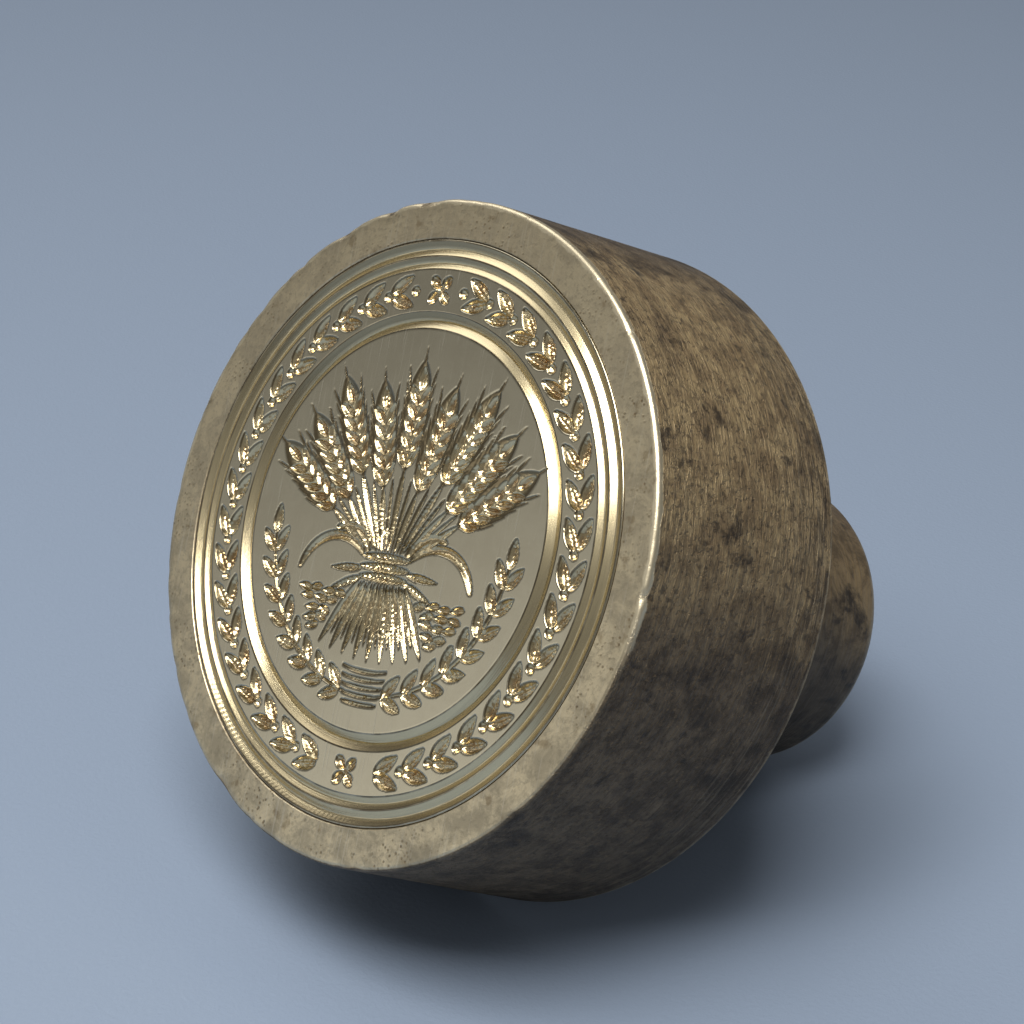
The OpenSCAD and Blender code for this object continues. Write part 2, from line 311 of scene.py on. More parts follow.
def carve_blades(relief):
    for centre, radius, start, end in BLADES:
        start, end = math.radians(start), math.radians(end)
        relief.arc(centre, radius, start, end, BLADE_W, BLADE_DEPTH)
        relief.arc((-centre[0], centre[1]), radius, math.pi - end, math.pi - start, BLADE_W, BLADE_DEPTH)


# Clods of ploughed ground on both sides of the sheaf's foot, in level rows
GROUND_ROWS = 6
GROUND_TOP = -5.3
GROUND_PITCH = 0.72
GROUND_REACH = 10.7
GROUND_CLEAR = 0.7
CLOD_STEP = 1.3
CLOD_TURN = math.radians(16)
CLOD_STRAY = 0.12


def carve_ground(relief, rng):
    for row in range(GROUND_ROWS):
        y = GROUND_TOP - GROUND_PITCH * row
        foot_half = STALK_PITCH * EARS / 2 + (TIE_AT[1] - TIE_HALF - y) * math.tan(FOOT_FAN / 2)
        for side in (-1, 1):
            x = foot_half + GROUND_CLEAR + CLOD_STEP * rng.uniform(0, 0.6)
            while math.hypot(x, y) < GROUND_REACH:
                at = (side * x, y + CLOD_STRAY * rng.uniform(-1, 1))
                relief.stroke("clod", at, math.pi / 2 + CLOD_TURN * rng.uniform(-1, 1))
                x += CLOD_STEP * rng.uniform(0.85, 1.15)


# The two sprigs that follow the edge of the field, and the furrows between their feet
SPRIG_AT = 12.7
SPRIG_PAIRS = 8
SPRIG_FROM = math.radians(-75.3)
SPRIG_STEP = math.radians(9.4)
SPRIG_TIP = math.radians(-2)
SPRIG_LEAN = math.radians(33)
SPRIG_SPREAD = 0.72
SPRIG_STEM_W = 0.34
SPRIG_STEM_DEPTH = 0.22
FURROWS = 5
FURROW_AT = 10.9
FURROW_PITCH = 0.62
FURROW_HALF = math.radians(13)
FURROW_SHRINK = 0.09
FURROW_W = 0.36
FURROW_DEPTH = 0.2


def carve_sprigs(relief):
    for side in (-1, 1):
        for i in range(SPRIG_PAIRS):
            angle, heading = mirrored(SPRIG_FROM + SPRIG_STEP * i, side)
            leaf_pair(relief, "sprig leaf", polar(SPRIG_AT, angle), heading, SPRIG_LEAN, SPRIG_SPREAD)
        tip, heading = mirrored(SPRIG_TIP, side)
        relief.stroke("sprig leaf", polar(SPRIG_AT, tip), heading)
        start, end = sorted((mirrored(SPRIG_FROM - SPRIG_STEP, side)[0], tip))
        relief.arc((0, 0), SPRIG_AT, start, end, SPRIG_STEM_W, SPRIG_STEM_DEPTH)
    down = -math.pi / 2
    for i in range(FURROWS):
        half = FURROW_HALF * (1 - FURROW_SHRINK * i)
        radius = FURROW_AT + FURROW_PITCH * i
        relief.arc((0, 0), radius, down - half, down + half, FURROW_W, FURROW_DEPTH)


# The wreath in the border
WREATH_PAIRS = 18
WREATH_FOOT = math.radians(9)
WREATH_HEAD = math.radians(8)
WREATH_LEAN = math.radians(24)
WREATH_SPREAD = 0.66
BERRY_D = 0.78
BERRY_DEPTH = 0.36
PETAL_AT = 0.76

# Cord milling on the outer wall of the outer groove, worn away except round the lower left
MILLING_TEETH = 300
MILLING_DEPTH = 0.06
MILLING_SLANT = 6.0
MILLING_MIDDLE = math.radians(-118)
MILLING_REACH = math.radians(32)
MILLING_FULL = 0.2


def carve_wreath(relief):
    climb = (math.pi - WREATH_FOOT - WREATH_HEAD) / WREATH_PAIRS
    for side in (-1, 1):
        for i in range(WREATH_PAIRS):
            angle, heading = mirrored(WREATH_FOOT - math.pi / 2 + climb * (i + 0.5), side)
            leaf_pair(relief, "wreath leaf", polar(WREATH_AT, angle), heading, WREATH_LEAN, WREATH_SPREAD)
            relief.dimple(polar(WREATH_AT, angle + side * climb / 2), BERRY_D, BERRY_DEPTH)
    for end in (-1, 1):
        middle = (0, end * WREATH_AT)
        relief.dimple(middle, BERRY_D, BERRY_DEPTH)
        for quarter in range(4):
            turn = math.pi / 4 + quarter * math.pi / 2
            relief.stroke("petal", placed((0, PETAL_AT), middle, turn), turn)


def carve_rings(relief):
    for at, width, depth in (OUTER_GROOVE, FINE_GROOVE, FIELD_GROOVE):
        relief.ring(at, width, depth)
    r = np.hypot(relief.x, relief.y)
    angle = np.arctan2(relief.y, relief.x)
    off = np.abs((angle - MILLING_MIDDLE + math.pi) % (2 * math.pi) - math.pi)
    kept = np.clip(1 + MILLING_FULL - off / MILLING_REACH, 0, 1)
    half_wall = OUTER_GROOVE[1] / 4
    on_wall = np.clip(1 - np.abs(r - OUTER_GROOVE[0] - half_wall) / half_wall, 0, 1)
    teeth = 0.5 + 0.5 * np.cos(MILLING_TEETH * angle + MILLING_SLANT * r)
    relief.depth -= MILLING_DEPTH * teeth * kept * on_wall


def chatter(x, y, depth):
    """Small unevenness left by the graver in the bottom of its cuts."""
    waves = np.sin(8.3 * x + 2.1 * np.sin(4.9 * y)) * np.sin(9.7 * y + 1.7 * np.sin(6.1 * x))
    ripple = np.sin(17.3 * x - 11.9 * y + 1.9 * np.sin(5.3 * x))
    return CHATTER * (waves + 0.5 * ripple) * np.clip(depth / CHATTER_FULL, 0, 1)


# The sheaf and its sprigs are drawn in a field of one radius and fitted to the real one, with a margin
DRAWN_R = 15.4
ART_MARGIN = 0.05
ART_SCALE = (FIELD_GROOVE[0] - FIELD_GROOVE[1] / 2 - ART_MARGIN) / DRAWN_R
GROUND_SEED = 4


def engrave(x, y):
    """Depth of the whole design and of its graver cuts alone, at the points x and y."""
    rings = Relief(x, y)
    carve_rings(rings)
    wreath = Relief(x, y)
    carve_wreath(wreath)
    art = Relief(x / ART_SCALE, y / ART_SCALE)
    carve_blades(art)
    carve_sheaf(art)
    carve_sprigs(art)
    carve_ground(art, random.Random(GROUND_SEED))
    cuts = np.maximum(wreath.depth, art.depth * ART_SCALE)
    cuts += chatter(x, y, cuts)
    return np.maximum(rings.depth, cuts), cuts


# Vertices nearer than this are merged, and those as near as NEAR to a plane lie on it
MERGE = 1e-3
NEAR = 0.01


def coordinates(mesh):
    points = np.empty(len(mesh.vertices) * 3)
    mesh.vertices.foreach_get("co", points)
    return points.reshape(-1, 3)


def move_vertices(mesh, points):
    mesh.vertices.foreach_set("co", points.ravel())
    mesh.update()


def closed_mesh(bm, name):
    """Merges and orients a bmesh, and turns it into a mesh, still in millimetres."""
    bmesh.ops.remove_doubles(bm, verts=bm.verts, dist=MERGE)
    bmesh.ops.recalc_face_normals(bm, faces=bm.faces)
    mesh = bpy.data.meshes.new(name)
    bm.to_mesh(mesh)
    bm.free()
    return mesh


def add_object(name, data):
    made = bpy.data.objects.new(name, data)
    bpy.context.scene.collection.objects.link(made)
    return made


def add_piece(mesh, material, body, nodes, sharp=40):
    """Scales a mesh to metres and makes it a piece that rides on a body and stands for CAD nodes."""
    mesh.transform(Matrix.Scale(MM, 4))
    mesh.shade_smooth()
    mesh.set_sharp_from_angle(angle=math.radians(sharp))
    mesh.materials.append(material)
    piece = add_object(mesh.name, mesh)
    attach(piece, body)
    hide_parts(*nodes)


def spun(name, corners, steps, loop):
    """
    A mesh made by a full turn of a profile, which is joined in a loop or ends on the axis. A corner has a
    radius, a height and, where it isn't 1, the number of steps up to the next corner.
    A wedge is spun and then repeated, and closed_mesh merges the seams between wedges.
    """
    bm = bmesh.new()
    verts = []
    for (r, z, *count), (next_r, next_z, *_) in zip(corners, corners[1:] + corners[:1]):
        parts = count[0] if count else 1
        for i in range(parts):
            verts.append(bm.verts.new((r + (next_r - r) * i / parts, 0, z + (next_z - z) * i / parts)))
    ends = list(zip(verts, verts[1:]))
    if loop:
        ends.append((verts[-1], verts[0]))
    edges = [bm.edges.new(pair) for pair in ends]
    wedge = 2 * math.pi / WEDGES
    bmesh.ops.spin(
        bm, geom=verts + edges, cent=(0, 0, 0), axis=(0, 0, 1), angle=wedge, steps=steps // WEDGES,
    )
    bmesh.ops.spin(
        bm, geom=bm.verts[:] + bm.edges[:] + bm.faces[:], cent=(0, 0, 0), axis=(0, 0, 1),
        angle=2 * math.pi - wedge, steps=WEDGES - 1, use_duplicate=True,
    )
    return closed_mesh(bm, name)


def fillet(centre, radius, start, end, count):
    """Corners along an arc, angles in degrees, up to but not at its end."""
    turns = [math.radians(start + (end - start) * i / count) for i in range(count)]
    return [(centre[0] + radius * math.cos(a), centre[1] + radius * math.sin(a)) for a in turns]


# Shading


def feed(made, inputs):
    """Sets or links a node's inputs, which are values or sockets, by name or number."""
    for name, value in inputs.items():
        if isinstance(value, bpy.types.NodeSocket):
            made.id_data.links.new(value, made.inputs[name])
        else:
            made.inputs[name].default_value = value


def node(tree, kind, inputs=None, **settings):
    """Adds a shader node with its inputs and settings."""
    made = tree.nodes.new(kind)
    for name, value in settings.items():
        setattr(made, name, value)
    feed(made, inputs or {})
    return made


def maths(operation, a, b=0.0):
    """A number worked out from a and b, of which one at least is a socket."""
    socket = a if isinstance(a, bpy.types.NodeSocket) else b
    return node(socket.id_data, "ShaderNodeMath", {0: a, 1: b}, operation=operation).outputs[0]


def times(a, b):
    return maths("MULTIPLY", a, b)


def smooth_range(value, low, high):
    """0 at low, 1 at high and smooth between. Either may be the larger."""
    made = node(
        value.id_data, "ShaderNodeMapRange", {"Value": value, "From Min": low, "From Max": high},
        interpolation_type="SMOOTHSTEP",
    )
    return made.outputs["Result"]


def blend(factor, a, b):
    """Mixes two colours by a factor."""
    made = node(factor.id_data, "ShaderNodeMix", {"Factor": factor, 6: a, 7: b}, data_type="RGBA")
    return made.outputs[2]


def lerp(factor, a, b):
    """Mixes two values by a factor."""
    made = node(factor.id_data, "ShaderNodeMix", {"Factor": factor, 2: a, 3: b}, data_type="FLOAT")
    return made.outputs[0]


def stained(colour, stain, *layers):
    """Mixes a colour towards a stain, by masks with a share each."""
    for mask, share in layers:
        colour = blend(times(mask, share), colour, stain)
    return colour


def summed(*layers):
    """Adds up masks with a share each."""
    total = 0.0
    for mask, share in layers:
        total = maths("ADD", total, times(mask, share))
    return total


def noise(vector, scale, detail=4.0, roughness=0.55, distortion=0.0):
    made = node(
        vector.id_data, "ShaderNodeTexNoise",
        {"Vector": vector, "Scale": scale, "Detail": detail, "Roughness": roughness,
         "Distortion": distortion},
    )
    return made.outputs["Fac"]


def new_group(name, inputs, outputs):
    """A shader node group with a vector input, value inputs with defaults, and value outputs."""
    group = bpy.data.node_groups.new(name, "ShaderNodeTree")
    group.interface.new_socket("Vector", in_out="INPUT", socket_type="NodeSocketVector")
    for label, value in inputs.items():
        socket = group.interface.new_socket(label, in_out="INPUT", socket_type="NodeSocketFloat")
        socket.default_value = value
    for label in outputs:
        group.interface.new_socket(label, in_out="OUTPUT", socket_type="NodeSocketFloat")
    return group, group.nodes.new("NodeGroupInput").outputs, group.nodes.new("NodeGroupOutput").inputs


def grouped(group, vector, **inputs):
    """Places a group and returns its outputs."""
    return node(vector.id_data, "ShaderNodeGroup", {"Vector": vector, **inputs}, node_tree=group).outputs


def stretched(vector, across, along, third=0.0):
    """A vector with its first two parts scaled and its third replaced."""
    split = node(vector.id_data, "ShaderNodeSeparateXYZ", {0: vector}).outputs
    parts = {0: times(split[0], across), 1: times(split[1], along), 2: third}
    return node(vector.id_data, "ShaderNodeCombineXYZ", parts).outputs[0]


def axis_sockets(coords):
    """Distance from the axis and height along it."""
    tree = coords.id_data
    flat = stretched(coords, 1.0, 1.0)
    radius = node(tree, "ShaderNodeVectorMath", {0: flat}, operation="LENGTH").outputs["Value"]
    return radius, node(tree, "ShaderNodeSeparateXYZ", {0: coords}).outputs[2]


def make_lathe_marks():
    """Fine lines round the axis, on flat faces and on cylinders alike."""
    group, given, out = new_group("lathe marks", {"Pitch": 0.00025, "Breaks": 60.0}, ["Lines"])
    radius, height = axis_sockets(given["Vector"])
    along = maths("DIVIDE", maths("ADD", radius, height), given["Pitch"])
    around = stretched(given["Vector"], given["Breaks"], given["Breaks"], along)
    lines = noise(around, 1.0, detail=3.0, roughness=0.7, distortion=0.6)
    group.links.new(smooth_range(lines, 0.36, 0.66), out["Lines"])
    return group


def make_patina():
    """Mottling of old steel: middling patches, large dark blotches, dark spots and fine specks."""
    group, given, out = new_group("patina", {"Scale": 300.0}, ["Mottle", "Blotch", "Spots", "Specks"])

    def layer(label, scale, low, high, detail, roughness, distortion):
        size = times(given["Scale"], scale)
        value = noise(given["Vector"], size, detail, roughness, distortion)
        group.links.new(smooth_range(value, low, high), out[label])

    layer("Mottle", 1.0, 0.38, 0.62, 8.0, 0.74, 0.4)
    layer("Blotch", 0.5, 0.55, 0.67, 8.0, 0.7, 0.25)
    layer("Spots", 1.5, 0.6, 0.7, 5.0, 0.55, 0.3)
    layer("Specks", 6.0, 0.52, 0.64, 3.0, 0.65, 0.3)
    return group


def make_pits():
    """Small corrosion pits, gathered in patches."""
    group, given, out = new_group("pits", {"Scale": 1800.0, "Patches": 220.0, "Cover": 0.55}, ["Pits"])
    cells = node(
        group, "ShaderNodeTexVoronoi", {"Vector": given["Vector"], "Scale": given["Scale"]},
    ).outputs["Distance"]
    patch = noise(given["Vector"], given["Patches"], detail=5.0, roughness=0.6)
    gathered = smooth_range(patch, given["Cover"], maths("ADD", given["Cover"], 0.22))
    pit = smooth_range(cells, 0.36, 0.08)
    group.links.new(times(pit, gathered), out["Pits"])
    return group


def make_scratches():
    """Thin straight scratches along Y, broken up along their length."""
    group, given, out = new_group("scratches", {"Across": 5000.0, "Along": 160.0}, ["Scratches"])
    drawn_out = stretched(given["Vector"], given["Across"], given["Along"])
    lines = noise(drawn_out, 1.0, detail=2.0, roughness=0.5)
    group.links.new(smooth_range(lines, 0.56, 0.74), out["Scratches"])
    return group


LATHE_MARKS = make_lathe_marks()
PATINA = make_patina()
PITS = make_pits()
SCRATCHES = make_scratches()


def new_material(name):
    """A material with its shader and object coordinates."""
    material = bpy.data.materials.new(name)
    material.use_nodes = True
    nodes = material.node_tree.nodes
    return material, nodes["Principled BSDF"], nodes.new("ShaderNodeTexCoord").outputs["Object"]


def bump(shader, height, distance):
    made = node(shader.id_data, "ShaderNodeBump", {"Height": height, "Distance": distance, "Strength": 1.0})
    feed(shader, {"Normal": made.outputs["Normal"]})


# Colours of the steel, in linear light
LIP_STEEL = (0.73, 0.625, 0.425, 1)
LIP_STAIN = (0.36, 0.31, 0.22, 1)
BRIGHT_EDGE = (0.85, 0.75, 0.54, 1)
SIDE_OLIVE = (0.5, 0.37, 0.195, 1)
SIDE_BROWN = (0.27, 0.19, 0.1, 1)
# Painted shade: the colour of the side away from its paler lit stretches
SIDE_PAINTED_SHADE = (0.17, 0.122, 0.07, 1)
SIDE_DARK = (0.026, 0.018, 0.012, 1)
SHANK_OLIVE = (0.36, 0.255, 0.13, 1)
SHANK_BROWN = (0.15, 0.105, 0.056, 1)
SHANK_DARK = (0.015, 0.012, 0.01, 1)
DIE_FLAT = (0.55, 0.505, 0.38, 1)
DIE_SCRATCH = (0.78, 0.73, 0.6, 1)
DIE_CUT = (0.76, 0.65, 0.41, 1)
DIE_AMBER = (0.4, 0.22, 0.08, 1)
# Dark colour of the groove lines, and of the painted shade in the die's cuts and grooves
DIE_DARK_AND_SHADE = (0.12, 0.085, 0.045, 1)
BOLT_STEEL = (0.42, 0.4, 0.36, 1)
BOLT_DARK = (0.1, 0.085, 0.065, 1)
PIN_STEEL = (0.6, 0.58, 0.54, 1)


# Two opposite stretches of the side are painted paler, as lit, and the rest darker, as painted shade: the
# middle of one, and their ends as cosines
PAINTED_LIT_AT = math.radians(29)
PAINTED_LIT_NONE = 0.72
PAINTED_LIT_FULL = 0.99

# The drum's front edge is rubbed bright on one stretch and left darker elsewhere, partly wear and partly a
# painted highlight where it catches the light: its middle, ends as cosines, and the share elsewhere
RUBBED_AND_LIT_AT = math.radians(85)
RUBBED_AND_LIT_NONE = -0.25
RUBBED_AND_LIT_FULL = 0.05
UNRUBBED_AND_SHADED = 0.05

# Depths below the face between which the side turns into the lip, and heights of the worn band at the back
LIP_NONE = 0.12
LIP_FULL = 0.02
BACK_BAND_NONE = 8
BACK_BAND_FULL = 1

# Dark lines at the edges of the ring grooves
DARK_LINE_W = 0.2
DARK_LINE_FADE = 0.02

# Painted shade on their outer walls: distances from the bottom, middle of its stretch, ends as cosines, and
# share
WALL_NONE = 0.08
WALL_FULL = 0.3
WALL_SHADE_AT = math.radians(112)
WALL_SHADE_NONE = 0.5
WALL_SHADE_FULL = 0.95
WALL_SHADE_SHARE = 0.65


def toward(coords, radius, angle):
    """Cosine of the turn about the axis from an angle."""
    way = (math.cos(angle), math.sin(angle), 0)
    along = node(coords.id_data, "ShaderNodeVectorMath", {0: coords, 1: way}, operation="DOT_PRODUCT")
    return maths("DIVIDE", along.outputs["Value"], radius)


def painted_lit_stretch(coords, radius):
    """1 on the stretches of the side painted paler as lit, 0 where it is painted dark as shade, with an
    uneven border.
    """
    turn = maths("ABSOLUTE", toward(coords, radius, PAINTED_LIT_AT))
    uneven = maths("SUBTRACT", noise(coords, 90.0, detail=6.0, roughness=0.65), 0.5)
    turn = maths("ADD", turn, times(uneven, 0.45))
    return smooth_range(turn, PAINTED_LIT_NONE, PAINTED_LIT_FULL)


def near_edge(coords, across, along, ragged, start, end):
    """1 at an edge and 0 away from it, by distances across and along the axis, with a ragged border."""
    uneven = times(noise(coords, 560.0, detail=6.0, roughness=0.65), ragged * MM)
    away = maths("ADD", maths("ADD", across, along), uneven)
    return smooth_range(away, end * MM, start * MM)


def worn_and_lit_front(coords, radius, height):
    """1 on the drum's front edge, where the patina has worn off, most on the stretch painted bright as a
    highlight.
    """
    from_rim = maths("SUBTRACT", DRUM_R * MM, radius)
    from_face = maths("SUBTRACT", FACE_Z * MM, height)
    worn = near_edge(coords, from_rim, from_face, ragged=0.9, start=0.8, end=1.02)
    # Painted highlight: the bright edge is kept to the stretch that catches the light, and mostly left out
    # where it would lie in shade.
    rubbed = smooth_range(toward(coords, radius, RUBBED_AND_LIT_AT), RUBBED_AND_LIT_NONE, RUBBED_AND_LIT_FULL)
    return times(worn, lerp(rubbed, UNRUBBED_AND_SHADED, 1.0))


def worn_back(coords, radius, height):
    """1 on the drum's back edge, where the patina is thin."""
    from_rim = maths("SUBTRACT", DRUM_BACK_R * MM, radius)
    from_back = maths("SUBTRACT", height, DRUM_Z * MM)
    return near_edge(coords, from_rim, from_back, ragged=0.9, start=0.75, end=1.1)


def groove_lines_and_shade(coords, radius):
    """1 in broken dark lines at the edges of the ring grooves, and less as painted shade on their upper and
    lower outer walls.
    """
    lines = 0.0
    walls = 0.0
    for at, width, _ in (OUTER_GROOVE, FINE_GROOVE, FIELD_GROOVE):
        off = maths("SUBTRACT", radius, at * MM)
        from_line = maths("SUBTRACT", maths("ABSOLUTE", off), width / 2 * MM)
        line = smooth_range(maths("ABSOLUTE", from_line), DARK_LINE_W / 2 * MM, DARK_LINE_FADE * MM)
        lines = maths("MAXIMUM", lines, line)
        outer = smooth_range(off, WALL_NONE * MM, WALL_FULL * MM)
        inside = smooth_range(from_line, DARK_LINE_FADE * MM, 0.0)
        walls = maths("MAXIMUM", walls, times(outer, inside))
    stays = smooth_range(noise(coords, 260.0, detail=5.0, roughness=0.65), 0.3, 0.6)
    # Painted shade on the outer walls, strongest towards the top and bottom of the face.
    upright = maths("ABSOLUTE", toward(coords, radius, WALL_SHADE_AT))
    wall_shade = times(smooth_range(upright, WALL_SHADE_NONE, WALL_SHADE_FULL), WALL_SHADE_SHARE)
    return maths("MAXIMUM", times(lines, stays), times(walls, wall_shade))


def make_drum_material():
    """Brown mottled patina on the side, painted paler on its lit stretches and darker elsewhere as painted
    shade, satin steel on the lip, and a bright worn front edge that is painted brightest where it catches
    the light.
    """
    material, shader, coords = new_material("drum_patina")
    radius, height = axis_sockets(coords)
    patina = grouped(PATINA, coords, Scale=380.0)
    grain = grouped(LATHE_MARKS, coords, Pitch=0.0004, Breaks=440.0)["Lines"]
    turning = grouped(LATHE_MARKS, coords, Pitch=0.00014, Breaks=90.0)["Lines"]
    pits = grouped(PITS, coords, Scale=2400.0, Patches=240.0, Cover=0.44)["Pits"]
    scratches = grouped(SCRATCHES, coords)["Scratches"]
    on_lip = smooth_range(height, (FACE_Z - LIP_NONE) * MM, (FACE_Z - LIP_FULL) * MM)
    edge = worn_and_lit_front(coords, radius, height)
    back_edge = worn_back(coords, radius, height)
    near_back = smooth_range(height, (DRUM_Z + BACK_BAND_NONE) * MM, (DRUM_Z + BACK_BAND_FULL) * MM)
    side = blend(patina["Mottle"], SIDE_OLIVE, SIDE_BROWN)
    # Painted shade: the side away from its paler lit stretches takes this dark colour.
    shaded_side = stained(SIDE_PAINTED_SHADE, SIDE_DARK, (patina["Mottle"], 0.7))
    # Lighter specks on the side's painted-shade colour are painted glints; the same noise also raises the
    # bump.
    skin_and_glints = noise(coords, 2600.0, detail=4.0, roughness=0.7, distortion=0.4)
    skin_and_glints = smooth_range(skin_and_glints, 0.54, 0.7)
    shaded_side = stained(shaded_side, SIDE_BROWN, (skin_and_glints, 0.75))
    side = blend(painted_lit_stretch(coords, radius), shaded_side, side)
    grain_share = lerp(maths("MAXIMUM", patina["Blotch"], near_back), 0.36, 0.7)
    side = stained(
        side, SIDE_DARK, (near_back, 0.25), (grain, grain_share),
        (patina["Blotch"], 0.72), (patina["Spots"], 0.7), (patina["Specks"], 0.5),
    )
    rubbed = smooth_range(turning, 0.65, 1.0)
    side = stained(side, LIP_STAIN, (rubbed, lerp(near_back, 0.08, 0.3)), (back_edge, 0.6))
    lip = stained(
        LIP_STEEL, LIP_STAIN,
        (patina["Mottle"], 0.6), (patina["Blotch"], 0.5), (patina["Specks"], 0.4),
    )
    lip = stained(lip, SIDE_BROWN, (patina["Spots"], 0.5))
    lip = stained(lip, DIE_SCRATCH, (scratches, 0.3))
    lip = stained(lip, SIDE_BROWN, (pits, 0.85))
    colour = blend(edge, blend(on_lip, side, lip), BRIGHT_EDGE)
    side_rough = lerp(patina["Mottle"], 0.4, 0.55)
    lip_rough = lerp(patina["Mottle"], 0.3, 0.42)
    rough = lerp(on_lip, side_rough, lip_rough)
    rough = lerp(edge, rough, 0.38)
    on_side = maths("SUBTRACT", 1.0, maths("MAXIMUM", on_lip, edge))
    metal = lerp(on_side, 1.0, 0.4)
    feed(shader, {"Base Color": colour, "Roughness": rough, "Metallic": metal})
    turned = (turning, lerp(near_back, 0.12, 0.5))
    lines = summed(turned, (grain, 0.8), (patina["Specks"], -0.5), (skin_and_glints, 0.5))
    raised = summed((lines, lerp(on_side, 0.06, 1.0)), (pits, lerp(on_side, -0.25, -0.7)))
    bump(shader, raised, 0.08 * MM)
    return material


def make_die_material():
    """Polished steel with fine upright scratches, warm and bright in its cuts, with painted shade just
    inside the cuts' edges, and dark lines and painted shade from the ring grooves.
    """
    material, shader, coords = new_material("die_steel")
    tree = material.node_tree
    carved = node(tree, "ShaderNodeAttribute", attribute_name="carved").outputs["Fac"]
    graver = node(tree, "ShaderNodeAttribute", attribute_name="graver").outputs["Fac"]
    patina = grouped(PATINA, coords, Scale=420.0)
    turning = grouped(LATHE_MARKS, coords, Pitch=0.00014, Breaks=120.0)["Lines"]
    radius, height = axis_sockets(coords)
    side_top = FACE_Z - FIELD_FLOOR_DROP / 2
    on_side = smooth_range(height, side_top * MM, FIELD_FLOOR_Z * MM)
    on_face = maths("SUBTRACT", 1.0, on_side)
    scratches = times(grouped(SCRATCHES, coords)["Scratches"], on_face)
    in_cut = smooth_range(carved, 0.015, 0.1)
    amber = times(smooth_range(graver, 0.3, 0.9), patina["Mottle"])
    flat = stained(DIE_FLAT, LIP_STAIN, (patina["Mottle"], 0.15))
    flat = stained(flat, DIE_SCRATCH, (scratches, 0.25))
    groove_lines = times(turning, maths("SUBTRACT", carved, graver))
    cut = stained(DIE_CUT, DIE_AMBER, (amber, 0.75))
    cut = stained(cut, LIP_STAIN, (groove_lines, 0.5))
    # Painted shade: a dark band just inside the edges of the graver cuts.
    rim = times(smooth_range(graver, 0.015, 0.08), smooth_range(graver, 0.42, 0.16))
    dark_and_shade = maths("MAXIMUM", groove_lines_and_shade(coords, radius), rim)
    steel = stained(blend(in_cut, flat, cut), DIE_DARK_AND_SHADE, (dark_and_shade, 0.8))
    flat_rough = lerp(scratches, 0.17, 0.28)
    cut_rough = lerp(smooth_range(graver, 0.02, 0.15), 0.25, 0.22)
    face_rough = lerp(in_cut, flat_rough, cut_rough)
    side_rough = lerp(turning, 0.3, 0.4)
    rough = lerp(on_side, face_rough, side_rough)
    feed(shader, {"Base Color": steel, "Roughness": rough, "Metallic": 1.0})
    turned = times(turning, on_side)
    raised = summed((scratches, -0.2), (turned, 1.5), (groove_lines, 1.5))
    bump(shader, raised, 0.007 * MM)
    return material


def make_shank_material():
    """Smooth dark brown patina with turning lines, paler where the end edge has worn, and painted dark as
    shade away from its lit stretches.
    """
    material, shader, coords = new_material("shank_patina")
    patina = grouped(PATINA, coords, Scale=360.0)
    marks = grouped(LATHE_MARKS, coords, Pitch=0.0003, Breaks=50.0)["Lines"]
    radius, height = axis_sockets(coords)
    from_rim = maths("SUBTRACT", SHANK_R * MM, radius)
    worn = near_edge(coords, from_rim, height, ragged=1.6, start=1.2, end=2.6)
    colour = blend(patina["Mottle"], SHANK_OLIVE, SHANK_BROWN)
    # Painted shade: the shank darkens away from the same lit stretches as the drum's side.
    shaded_shank = maths("SUBTRACT", 1.0, painted_lit_stretch(coords, radius))
    colour = stained(
        colour, SHANK_DARK,
        (patina["Blotch"], 0.8), (patina["Spots"], 0.7), (marks, 0.2), (shaded_shank, 0.72),
    )
    colour = stained(colour, LIP_STEEL, (worn, 0.3))
    rough = lerp(worn, lerp(patina["Mottle"], 0.34, 0.48), 0.3)
    feed(shader, {"Base Color": colour, "Roughness": rough, "Metallic": 0.4})
    bump(shader, marks, 0.02 * MM)
    return material


def make_small_steel(name, clean, stain, roughness, pitch):
    """Machined steel of a small piece, stained in patches."""
    material, shader, coords = new_material(name)
    patina = grouped(PATINA, coords, Scale=700.0)
    marks = grouped(LATHE_MARKS, coords, Pitch=pitch, Breaks=160.0)["Lines"]
    colour = stained(clean, stain, (patina["Mottle"], 0.6))
    rough = lerp(patina["Specks"], roughness, roughness + 0.14)
    feed(shader, {"Base Color": colour, "Roughness": rough, "Metallic": 1.0})
    bump(shader, marks, 0.006 * MM)
    return material


drum_patina = make_drum_material()
die_steel = make_die_material()
shank_patina = make_shank_material()
bolt_steel = make_small_steel("bolt_steel", BOLT_STEEL, BOLT_DARK, 0.32, 0.00016)
washer_steel = make_small_steel("washer_steel", BOLT_STEEL, SHANK_BROWN, 0.36, 0.0002)
spring_steel = make_small_steel("spring_steel", SHANK_DARK, BOLT_DARK, 0.4, 0.0002)
pin_steel = make_small_steel("pin_steel", PIN_STEEL, BOLT_STEEL, 0.24, 0.00012)


# The drum's larger knocks on its front edge: angle in degrees, depth and half width
EDGE_KNOCKS = [
    (-4.5, 0.2, 0.4), (40, 0.14, 0.35), (97, 0.18, 1.1), (106, 0.28, 0.7), (118, 0.22, 1.2),
    (129, 0.16, 0.5), (141, 0.12, 0.8), (-121, 0.18, 1.4), (-47, 0.1, 0.8),
]
SMALL_KNOCKS = 60
SMALL_KNOCK_DEPTH = 0.06
KNOCK_SEED = 11
KNOCK_REACH = 0.9
KNOCK_SHARE = 0.7
SIDE_WANDER = 0.02


def all_knocks():
    """The larger knocks, and small ones at random, which crowd at the upper left."""
    rng = random.Random(KNOCK_SEED)
    knocks = list(EDGE_KNOCKS)
    for i in range(SMALL_KNOCKS):
        at = rng.gauss(125, 35) if i % 2 else rng.uniform(-180, 180)
        knocks.append((at, SMALL_KNOCK_DEPTH * rng.random(), rng.uniform(0.25, 0.8)))
    return knocks


